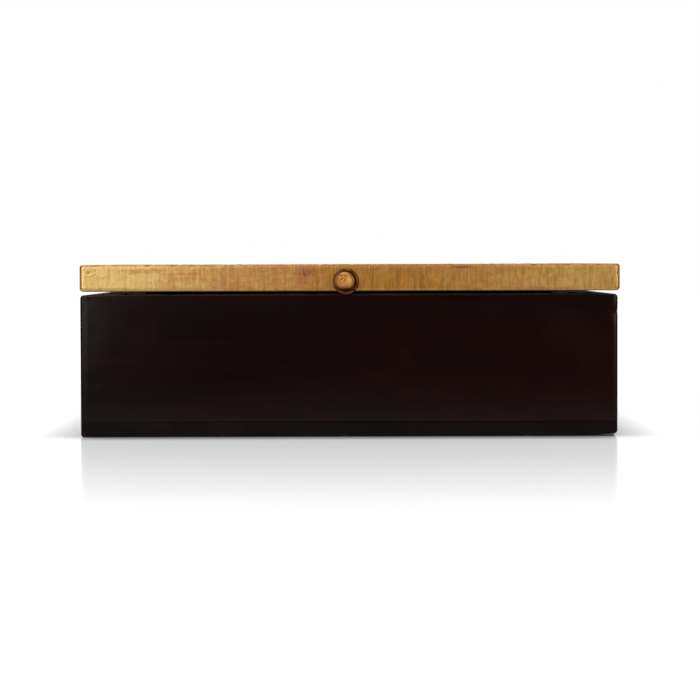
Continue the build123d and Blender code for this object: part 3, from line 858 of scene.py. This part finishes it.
def gold_leaf(name):
    """Loose leaf brushed on in upright strokes over red bole, dulled and rubbed."""
    material, shader, place, wear = piece_finish(name)
    tree = place.id_data
    tone = add(tree, "Attribute", attribute_name="tone").outputs["Fac"]
    bent = add(tree, "TexNoise", {"Vector": place, "Scale": 120.0, "Detail": 1.0})
    lean = add(tree, "VectorMath", {0: bent.outputs["Color"], 1: (0.0022, 0, 0), 2: place},
               operation="MULTIPLY_ADD").outputs[0]
    strokes = cloud(stretched(lean, (820, 75, 1)), 1.0, 3.0, 0.6)
    hairs = cloud(stretched(lean, (2500, 230, 1)), 1.0, 2.0, 0.6)
    long_rub = cloud(stretched(place, (90, 800, 1)), 1.0, 4.0, 0.62)
    grit = cloud(place, 1250, 3.0, 0.72)
    blotch = cloud(place, 330, 3.0, 0.6, 0.6)
    # The tone holds the front rail's painted shading and the arris's painted highlight as well as the leaf's
    # own tone; the pale and ochre leaf colours below follow it.
    leaf_tone_and_painted_light = plus(tone, fade(blotch, 0.35, 0.65, -0.14, 0.14))
    leaf = blend(leaf_tone_and_painted_light, rgb(240, 202, 128), rgb(202, 140, 60))
    shadow = blend(leaf_tone_and_painted_light, rgb(226, 182, 106), rgb(164, 112, 44))
    leaf = blend(fade(strokes, 0.36, 0.70), leaf, shadow)
    line = times(fade(hairs, 0.56, 0.74), fade(leaf_tone_and_painted_light, 0.0, 1.0, 0.16, 0.42))
    leaf = blend(line, leaf, rgb(136, 92, 42))
    from_heart = away_from(place, (215 * mm, -12 * mm, 0))      # the wood's own rings, under the leaf
    rings = sums("SINE", times(from_heart, math.tau / (1.15 * mm)), 0)
    end_grain = times(fade(from_heart, 31 * mm, 35 * mm), fade(from_heart, 40 * mm, 44 * mm, 1.0, 0.0))
    ring_line = times(fade(rings, 0.1, 0.9), times(end_grain, fade(strokes, 0.3, 0.6, 0.2, 0.6)))
    leaf = blend(ring_line, leaf, rgb(176, 122, 54))
    rubbed_at = wear
    for roughening, share in ((grit, 0.9), (long_rub, 0.55), (blotch, 0.5), (strokes, 0.5)):
        rubbed_at = plus(rubbed_at, scaled(roughening, share, -share / 2))
    thin = fade(rubbed_at, 0.08, 0.72)
    bare = fade(rubbed_at, 0.66, 1.12)
    through = blend(leaf_tone_and_painted_light, rgb(210, 142, 86), rgb(180, 110, 60))
    colour = blend(times(thin, 0.86), leaf, through)
    colour = blend(times(bare, 0.9), colour, rgb(98, 48, 32))
    metal_share = times(fade(thin, 0.0, 1.0, 0.86, 0.66), fade(bare, 0.0, 1.0, 1.0, 0.35))
    rough = plus(fade(thin, 0.0, 1.0, 0.36, 0.44), times(strokes, 0.08))
    wire(shader, {"Base Color": colour, "Metallic": metal_share, "Roughness": rough})
    height = times(hairs, 0.5)
    for relief, share in ((strokes, 0.5), (grit, 0.35), (bare, -0.35), (ring_line, -0.5)):
        height = plus(height, times(relief, share))
    lay_bump(shader, height, 0.4, 0.07 * mm)
    return material


gilding = gold_leaf("rubbed gold leaf")
rails = {side: gilded_rail(side, gilding) for side in ("front", "right", "back", "left")}
drilled(rails["back"], hinge_cutters(above=True))
for side, piece in rails.items():
    hidden = ["lid_rail_" + side]
    if side == "left":
        hidden.append("lid_pin_filling")
    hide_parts(*hidden)
    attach(piece, "lid")


# ---- Top panel and ground ---------------------------------------------------------------------
# A plain hardwood core lies in the frame's rebate. On it is glued a sheet of dark polished
# rosewood, pierced for the inlay, whose narrow bars show as dark lines between the tiles.

def polished_wood(name, dark, light, along_scale, coat):
    """Close-grained veneer under clear polish."""
    material, shader, place = solid_finish(name)
    figure = cloud(stretched(place, along_scale), 1.0, 4.0, 0.6, 0.8)
    pores = cloud(stretched(place, [value * 6 for value in along_scale]), 1.0, 2.0, 0.6)
    colour = blend(fade(figure, 0.34, 0.66), dark, light)
    colour = blend(fade(pores, 0.34, 0.44, 0.5, 0.0), colour, dark)
    wire(shader, {"Base Color": colour, "Roughness": fade(pores, 0.3, 0.6, 0.42, 0.34),
                  "Specular IOR Level": 0.15, "Coat Weight": coat, "Coat Roughness": 0.12})
    lay_bump(shader, pores, 0.15, 0.03 * mm)
    return material


core = polished_wood("panel core", rgb(92, 56, 34), rgb(128, 84, 52), (30, 320, 320), 0.0)
rosewood = polished_wood("rosewood ground", rgb(22, 9, 7), rgb(60, 26, 17), (22, 260, 260), 0.2)
refinish("lid_panel", core)
refinish("inlay_ground", rosewood)


# ---- Inlay ------------------------------------------------------------------------------------
# Tiles of mother-of-pearl, bone, ebony and red wood, sawn to shape and set into the ground with
# two squares of brass stringing. Each was scraped level by hand, so each catches light its own way.

def set_tiles(node, finish, seed):
    """The CAD tiles with worn edges, each tipped a very little and given its own tone."""
    work = bmesh.new()
    work.from_mesh(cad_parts[node].data)
    bmesh.ops.remove_doubles(work, verts=work.verts, dist=0.002 * mm)
    bmesh.ops.dissolve_limit(work, angle_limit=math.radians(1), verts=work.verts, edges=work.edges)
    top = max(vert.co.z for vert in work.verts)
    upper = [edge for edge in work.edges if all(vert.co.z > top - 0.001 * mm for vert in edge.verts)]
    bmesh.ops.bevel(work, geom=upper, offset=0.11 * mm, segments=2, affect="EDGES", profile=0.6)
    draw = random.Random(seed)
    tone = {}
    for found in lumps(work):
        middle = sum((vert.co for vert in found), Vector()) / len(found)
        own = draw.random()
        lean = Vector((draw.uniform(-1, 1), draw.uniform(-1, 1), 0)) * 0.008
        sink = draw.uniform(0.0, 0.03) * mm
        size = max((vert.co - middle).length for vert in found)
        for vert in found:
            tone[vert] = own
            if vert.co.z > middle.z:
                vert.co.z -= sink + 0.008 * size + lean.dot(vert.co - middle)
    grain = [vert.co + Vector((tone[vert] * 3, tone[vert] * 7, 0)) for vert in work.verts]
    tones = [tone[vert] for vert in work.verts]
    piece = finish_piece(node + "_tiles", work, grain, tones, finish)
    for face in piece.data.polygons:
        face.use_smooth = False
    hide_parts(node)
    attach(piece, "lid")


def pearl_finish(name):
    """Mother-of-pearl: layered, cloudy, with pink and green lights that drift across each tile."""
    material, shader, place, tone = piece_finish(name)
    wave = add(place.id_data, "TexWave", {"Vector": place, "Scale": 34.0, "Distortion": 9.0, "Detail": 3.0,
                                          "Detail Scale": 1.4}, bands_direction="DIAGONAL")
    layers = wave.outputs["Fac"]
    drift = cloud(place, 150, 3.0, 0.6, 1.2)
    silver = blend(tone, rgb(226, 222, 212), rgb(240, 236, 226))
    colour = blend(fade(drift, 0.42, 0.62, 0.0, 0.6), silver, rgb(236, 196, 206))
    colour = blend(fade(layers, 0.5, 0.95, 0.0, 0.5), colour, rgb(182, 222, 212))
    colour = blend(fade(cloud(place, 420, 2.0), 0.58, 0.7, 0.0, 0.35), colour, rgb(176, 170, 164))
    wire(shader, {"Base Color": colour, "Roughness": fade(drift, 0.3, 0.7, 0.18, 0.34), "Metallic": 0.22,
                  "Coat Weight": 0.35, "Coat Roughness": 0.07})
    lay_bump(shader, layers, 0.12, 0.03 * mm)
    return material


def bone_finish(name):
    """Polished bone with fine lengthwise pores, yellower on some tiles than others."""
    material, shader, place, tone = piece_finish(name)
    pores = cloud(stretched(place, (240, 2600, 1)), 1.0, 2.0, 0.6)
    stain = cloud(place, 130, 3.0, 0.6)
    colour = blend(tone, rgb(226, 210, 174), rgb(238, 228, 202))
    colour = blend(fade(stain, 0.5, 0.75, 0.0, 0.6), colour, rgb(204, 176, 126))
    colour = blend(fade(pores, 0.3, 0.4, 0.6, 0.0), colour, rgb(120, 84, 52))
    wire(shader, {"Base Color": colour, "Roughness": 0.38, "Specular IOR Level": 0.25, "Coat Weight": 0.2,
                  "Coat Roughness": 0.15})
    lay_bump(shader, pores, 0.2, 0.02 * mm)
    return material


def tile_wood(name, dark, light):
    """A dense tile wood, each piece with its own tone and its own run of grain."""
    material, shader, place, tone = piece_finish(name)
    figure = cloud(stretched(place, (60, 900, 1)), 1.0, 4.0, 0.6, 0.5)
    mixed = scaled(tone, 0.45, times(figure, 0.7))
    wire(shader, {"Base Color": blend(fade(mixed, 0.2, 0.85), dark, light), "Roughness": 0.36,
                  "Specular IOR Level": 0.2, "Coat Weight": 0.2, "Coat Roughness": 0.12})
    lay_bump(shader, figure, 0.15, 0.03 * mm)
    return material


set_tiles("inlay_pearl", pearl_finish("mother-of-pearl"), 5)
set_tiles("inlay_bone", bone_finish("polished bone"), 6)
set_tiles("inlay_ebony", tile_wood("ebony", rgb(14, 11, 10), rgb(36, 28, 25)), 7)
set_tiles("inlay_redwood", tile_wood("red wood", rgb(112, 34, 18), rgb(168, 74, 38)), 8)
refinish("inlay_stringing", metal("brass stringing", rgb(226, 190, 112), rgb(150, 106, 52), 0.24, 0.5, 300))


# ---- Lid lining and stops ---------------------------------------------------------------------
# The same velvet over card, glued up under the panel inside the rails, and two dots of brown felt
# under the front rail that take up the gap when the lid comes down.

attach(lining("lid_lining_velvet", "lid_lining", False, 8), "lid")

felt, felt_shader, felt_place = solid_finish("brown felt")
felt_fibres = cloud(felt_place, 2200, 4.0, 0.7, 1.5)
wire(felt_shader, {"Base Color": blend(felt_fibres, rgb(30, 18, 14), rgb(78, 54, 42)), "Roughness": 0.95,
                   "Sheen Weight": 0.4})
lay_bump(felt_shader, felt_fibres, 0.6, 0.1 * mm)
refinish("lid_stops", felt)
soften_edges("lid_stops", 0.25 * mm)


# ---- Knob -------------------------------------------------------------------------------------
# A small turned brass knob on a dished backplate, on a stud that runs into the front rail. The
# knob is rubbed bright on its face, the plate and the hollows have gone a dark bronze.

knob_low, knob_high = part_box("knob")
plate_low, plate_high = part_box("knob_rosette")
knob_middle = (knob_low + knob_high) / 2


turning_sides = 64


def turned_piece(name, section, foot, lean, dents, finish):
    """A solid turned on the axis that points out of the front rail, then leant and dented a little."""
    work = bmesh.new()
    rows = []
    for radius, out in section:
        if radius == 0:
            rows.append([work.verts.new((0, 0, out * mm))])
            continue
        row = []
        for step in range(turning_sides):
            angle = math.tau * step / turning_sides
            around = Vector((math.cos(angle), math.sin(angle), 0)) * radius
            row.append(work.verts.new((around + Vector((0, 0, out))) * mm))
        rows.append(row)
    skin(work, rows)
    bmesh.ops.recalc_face_normals(work, faces=work.faces)
    work.normal_update()
    grain = []
    for vert in work.verts:
        deep = 0.02 + 0.02 * noise.noise(vert.co * 500)
        for x, y, z, reach, depth in dents:
            away = (vert.co - Vector((x, y, z)) * mm).length / mm
            deep += depth * (1 - smooth_step(0, reach, away))
        vert.co -= vert.normal * deep * mm
        grain.append(vert.co.copy())
        across = vert.co.x + vert.co.z * lean[0]
        rise = vert.co.y + vert.co.z * lean[1]
        vert.co = Vector((foot.x + across, foot.y - vert.co.z, foot.z + rise))
    piece = finish_piece(name, work, grain, [0.0] * len(grain), finish)
    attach(piece, "lid")
    return piece


def button(radius, rise, base, steps, fullness):
    """Points from a button's rim to its middle: round at 2, flatter in the face above it."""
    power = 2 / fullness
    for step in range(1, steps):
        angle = math.pi / 2 * step / steps
        yield radius * math.cos(angle) ** power, base + rise * math.sin(angle) ** power
    yield 0, base + rise


def knob_brass_finish(name):
    """Brass rubbed bright by fingers on the face, dark in the pits and along the neck, its lower side
    darkened with painted shade.
    """
    material, shader, place, _ = piece_finish(name)
    _, up, out = add(place.id_data, "SeparateXYZ", {0: place}).outputs
    clouds = cloud(place, 520, 4.0, 0.65, 0.6)
    pits = cloud(place, 1700, 3.0, 0.6)
    from_spots = away_from(place, (-1.1 * mm, 1.5 * mm, 8.0 * mm))      # up and to the left on the face
    spotty = fade(from_spots, 0.8 * mm, 3.2 * mm, 1.0, 0.0)
    mottle = times(fade(pits, 0.44, 0.56), scaled(spotty, 0.85, 0.08))
    bright = blend(fade(clouds, 0.4, 0.7), rgb(226, 166, 84), rgb(206, 142, 68))
    colour = blend(mottle, bright, rgb(92, 58, 42))
    # Painted shade: the lower part of the knob is darkened, as the light falls from above; the dark neck is
    # the brass's own patina.
    painted_lower_shade = fade(up, -4.1 * mm, -1.5 * mm, 1.0, 0.0)
    neck_patina_and_lower_shade = sums("MAXIMUM", fade(out, 2.6 * mm, 4.2 * mm, 1.0, 0.0), painted_lower_shade)
    colour = blend(neck_patina_and_lower_shade, colour, rgb(44, 22, 12))
    rough = scaled(mottle, 0.14, fade(neck_patina_and_lower_shade, 0.0, 1.0, 0.50, 0.58))
    wire(shader, {"Base Color": colour, "Metallic": 0.95, "Roughness": rough})
    lay_bump(shader, plus(clouds, times(mottle, -0.8)), 0.3, 0.05 * mm)
    return material


plate_section = [       # radius, out from the rail
    (1.5, 0.0), (5.85, 0.0), (6.1, 0.15), (6.15, 0.6), (6.02, 1.1), (5.72, 1.55), (5.3, 1.76),
    (4.9, 1.68), (4.6, 1.42), (4.2, 1.24), (3.4, 1.2), (2.75, 1.24), (2.1, 1.24), (1.5, 1.24),
]
plate = turned_piece("knob_backplate", plate_section + [plate_section[0]],
                     Vector((knob_middle.x, plate_high.y, knob_middle.z)), (0, 0),
                     [(5.0, 2.2, 1.7, 1.0, 0.12)],
                     metal("dark bronze", rgb(132, 82, 48), rgb(62, 34, 20), 0.42, 0.7, 420))
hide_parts("knob_rosette")

knob_section = [        # the neck and the swelling under the face
    (0, 0.02), (2.6, 0.02), (2.42, 0.8), (2.4, 1.6), (2.7, 2.3), (3.3, 2.9), (3.95, 3.4), (4.3, 3.9),
    (4.42, 4.5), (4.44, 5.0),
]
knob_section += button(4.44, 3.1, 5.1, 24, 2.5)
knob = turned_piece("knob_turned", knob_section, Vector((knob_middle.x, plate_low.y, knob_middle.z)),
                    (-0.11, 0.035),
                    [(-1.6, 1.7, 7.4, 1.1, 0.16), (-0.4, 1.2, 8.0, 0.8, 0.1), (-2.3, 0.4, 7.2, 0.8, 0.1)],
                    knob_brass_finish("rubbed brass"))
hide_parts("knob")
refinish("knob_stud", steel)


# ---- Table, lights and camera -----------------------------------------------------------------
# The box stands on a white sweep between two big soft boxes, the left one nearer, in front of a
# low white screen that the table mirrors faintly. It is seen straight on, level with the lid's top.

floor_mesh = bmesh.new()
bmesh.ops.create_grid(floor_mesh, x_segments=2, y_segments=2, size=6.0)
floor = placed("table", floor_mesh)
floor_finish = bpy.data.materials.new("white table")
floor_finish.use_nodes = True
floor_tree = floor_finish.node_tree
floor_tree.nodes.clear()
floor_place = add(floor_tree, "TexCoord").outputs["Object"]
floor_reach = add(floor_tree, "VectorMath", {0: floor_place}, operation="LENGTH").outputs["Value"]
# The table's emission is weaker near the box and falls further with ambient occlusion under and beside it: a
# painted contact shadow. The table glows though it is no lamp, and to glossy rays it shows only a dim glow
# near the box.
shade = add(floor_tree, "AmbientOcclusion", {"Distance": 0.024}, samples=12).outputs["AO"]
far = fade(floor_reach, 0.2, 0.9, 0.8, 1.0)
glow = add(floor_tree, "Emission", {"Strength": times(sums("POWER", shade, 3.0), far)})
matt = add(floor_tree, "BsdfDiffuse", {"Color": (0.4, 0.4, 0.4, 1)})
lit = add(floor_tree, "AddShader", {0: matt.outputs[0], 1: glow.outputs[0]})
shine = add(floor_tree, "BsdfGlossy", {"Color": (1, 1, 1, 1), "Roughness": 0.16})
slant = add(floor_tree, "LayerWeight").outputs["Facing"]
gleam = times(fade(slant, 0.74, 0.93, 0.05, 0.42), fade(floor_reach, 0.1, 0.72, 1.0, 0.0))
polished = add(floor_tree, "MixShader", {0: gleam, 1: lit.outputs[0], 2: shine.outputs[0]})
mirrored = add(floor_tree, "LightPath").outputs["Is Glossy Ray"]
dimmed = add(floor_tree, "Emission", {"Strength": fade(floor_reach, 0.26, 0.5, 0.6, 0.0)})
surface = add(floor_tree, "MixShader", {0: mirrored, 1: polished.outputs[0], 2: dimmed.outputs[0]})
result = floor_tree.nodes.new("ShaderNodeOutputMaterial")
floor_tree.links.new(surface.outputs[0], result.inputs["Surface"])
floor.data.materials.append(floor_finish)
floor.visible_diffuse = False


def soft_box(name, place, aim, size, brightness):
    """A rectangular soft light at a place, facing its aim, as bright all over as it is asked to be."""
    data = bpy.data.lights.new(name, "AREA")
    data.shape = "RECTANGLE"
    data.size, data.size_y = size
    data.energy = brightness * math.pi * size[0] * size[1]
    light = bpy.data.objects.new(name, data)
    light.location = place
    light.rotation_euler = (Vector(aim) - Vector(place)).to_track_quat("-Z", "Y").to_euler()
    light.visible_camera = False
    bpy.context.collection.objects.link(light)


soft_box("left soft box", (-0.80, -1.3, 0.22), (-0.1, 0, 0.05), (1.2, 1.0), 2.4)
soft_box("right soft box", (0.98, -1.25, 0.25), (0.1, 0, 0.05), (1.2, 1.0), 2.5)
soft_box("front light", (-0.2, -1.3, 0.62), (0, 0, 0.05), (2.0, 0.6), 0.65)
soft_box("overhead light", (-0.1, -0.1, 1.3), (0, 0, 0), (1.6, 1.6), 1.3)
soft_box("low screen", (0, 2.2, 0.3), (0, 0, 0.3), (5.0, 0.6), 1.1)

world = bpy.data.worlds.new("studio")
bpy.context.scene.world = world
world.use_nodes = True
world_tree = world.node_tree
world_tree.nodes.clear()
room = add(world_tree, "Background", {"Color": (0.05, 0.05, 0.05, 1), "Strength": 1.0})
backdrop = add(world_tree, "Background", {"Color": (1, 1, 1, 1), "Strength": 1.0})
seen = add(world_tree, "LightPath").outputs["Is Camera Ray"]
both = add(world_tree, "MixShader", {0: seen, 1: room.outputs[0], 2: backdrop.outputs[0]})
sky = world_tree.nodes.new("ShaderNodeOutputWorld")
world_tree.links.new(both.outputs[0], sky.inputs["Surface"])
bpy.context.scene.view_settings.view_transform = "Standard"

camera_data = bpy.data.cameras.new("camera")
camera = bpy.data.objects.new("camera", camera_data)
bpy.context.collection.objects.link(camera)
bpy.context.scene.camera = camera
stand_off = 1.2
view_width = 0.3286             # across the picture, at the lid's front
eye_across = 0.45 * mm
eye_level = lid_low.z + 13.6 * mm
aim_level = 40.97 * mm
camera_tilt = -0.17             # degrees
camera_data.lens = camera_data.sensor_width * stand_off / view_width
camera.location = (eye_across, lid_low.y - stand_off, eye_level)
aim = Vector((eye_across, lid_low.y, aim_level))
look = (aim - camera.location).to_track_quat("-Z", "Y")
camera.rotation_euler = look.to_euler()
camera.rotation_euler.rotate_axis("Z", math.radians(camera_tilt))
